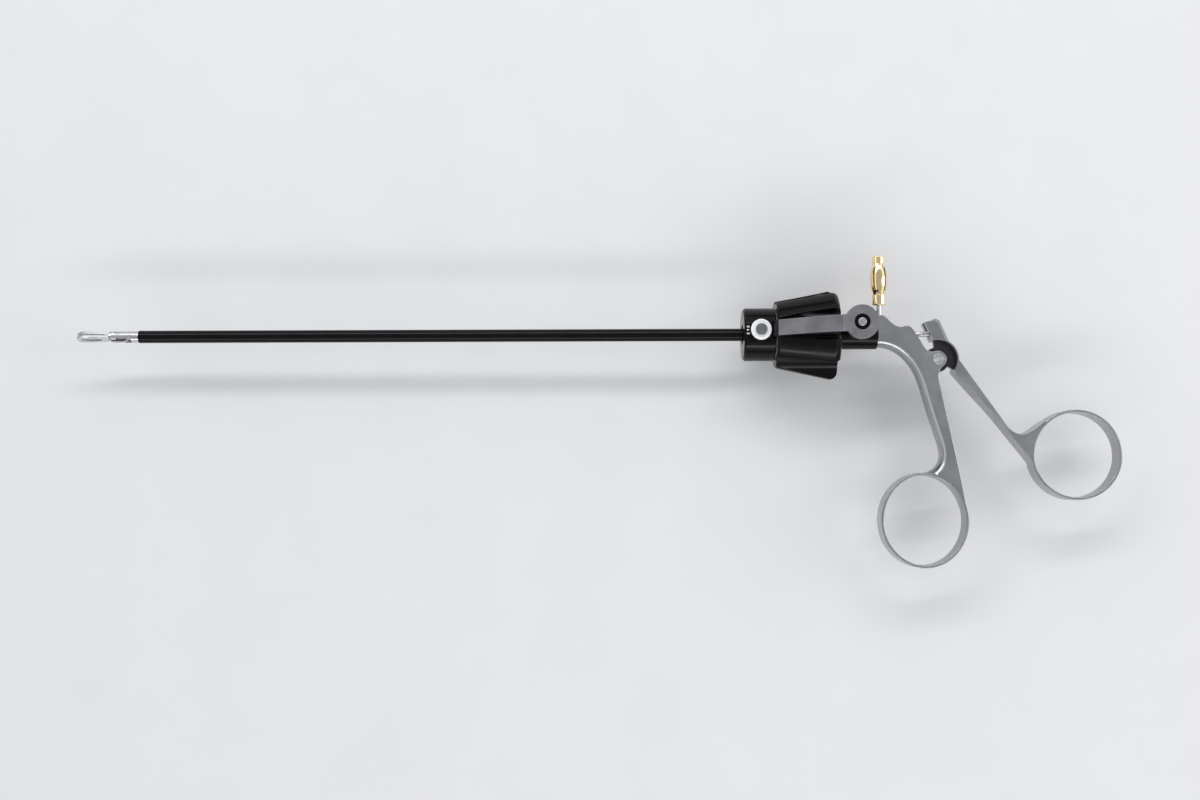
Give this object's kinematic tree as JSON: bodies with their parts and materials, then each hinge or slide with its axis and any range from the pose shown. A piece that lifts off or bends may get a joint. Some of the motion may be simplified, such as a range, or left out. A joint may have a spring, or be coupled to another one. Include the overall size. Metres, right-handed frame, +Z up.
{
  "type": "laparoscopic grasper",
  "caption": "Ring-handled laparoscopic grasper: insulated rotating shaft, two fenestrated jaws, petalled rotation knob and a plug for electrosurgical current.",
  "frame": {"origin": "on the shaft's axis, at the front face of the collar where the insulated shaft comes out", "axes": "+X along the shaft towards the handle, +Y the way the connector plug stands, +Z up from the side that lies on the table"},
  "size_m": [0.4165, 0.1249, 0.0392],
  "materials": {
    "satin_steel": "satin, fine-ground stainless steel",
    "polished_steel": "mirror-polished stainless steel",
    "tool_steel": "turned stainless steel",
    "black_polymer": "gloss black PEEK",
    "sleeve_polymer": "gloss black insulation",
    "grey_polymer": "satin dark grey, moulded and turned",
    "bearing_polymer": "natural PTFE",
    "seal_rubber": "matt black silicone",
    "gold_plate": "gold-plated brass"
  },
  "bodies": {
    "handle": {"finger_frame": "satin_steel", "pivot_screw": "tool_steel", "pivot_nut": "tool_steel", "insulating_housing": "black_polymer", "rod_seal": "seal_rubber", "seal_gland": "tool_steel", "side_arm": "grey_polymer", "arm_bush": "black_polymer", "arm_pin": "tool_steel", "arm_screw": "tool_steel", "button_washer": "polished_steel", "front_collar": "black_polymer", "nose_bush": "bearing_polymer", "thrust_washer": "bearing_polymer", "contact_stem": "polished_steel", "contact_plug": "gold_plate", "contact_cage": "gold_plate"},
    "lever": {"thumb_lever": "satin_steel"},
    "rotor": {"shaft_tube": "tool_steel", "insulation_sleeve": "sleeve_polymer", "clevis": "polished_steel", "jaw_pivot_pin": "polished_steel", "rotation_knob": "black_polymer", "knob_hub": "tool_steel", "knob_set_screw": "tool_steel", "retaining_clip": "tool_steel"},
    "rod": {"push_rod": "tool_steel", "drive_pin": "tool_steel", "rod_ball": "polished_steel"},
    "jaw_upper": {"upper_jaw": "polished_steel"},
    "jaw_lower": {"lower_jaw": "polished_steel"}
  },
  "joints": [
    {"name": "lever_hinge", "type": "hinge", "parent": "handle", "child": "lever", "pos_m": [0.0774, -0.0105, 0], "axis": [0, 0, 1], "range_deg": [-1.2, 18]},
    {"name": "shaft_turn", "type": "hinge", "parent": "handle", "child": "rotor", "pos_m": [0, 0, 0], "axis": [1, 0, 0], "continuous": true},
    {"name": "rod_slide", "type": "slide", "parent": "rotor", "child": "rod", "axis": [1, 0, 0], "range_m": [-0.0034, 0.0003]},
    {"name": "jaw_upper_hinge", "type": "hinge", "parent": "rotor", "child": "jaw_upper", "pos_m": [-0.252, 0, 0], "axis": [0, -0.5299, -0.848], "range_deg": [-1.9, 28.5]},
    {"name": "jaw_lower_hinge", "type": "hinge", "parent": "rotor", "child": "jaw_lower", "pos_m": [-0.252, 0, 0], "axis": [0, 0.5299, 0.848], "range_deg": [-1.9, 28.5]}
  ],
  "couplings": [
    {"joint": "rod_slide", "follows": "lever_hinge", "m_per_rad": -0.0105},
    {"joint": "jaw_upper_hinge", "follows": "lever_hinge", "ratio": 1.575},
    {"joint": "jaw_lower_hinge", "follows": "lever_hinge", "ratio": 1.575}
  ]
}
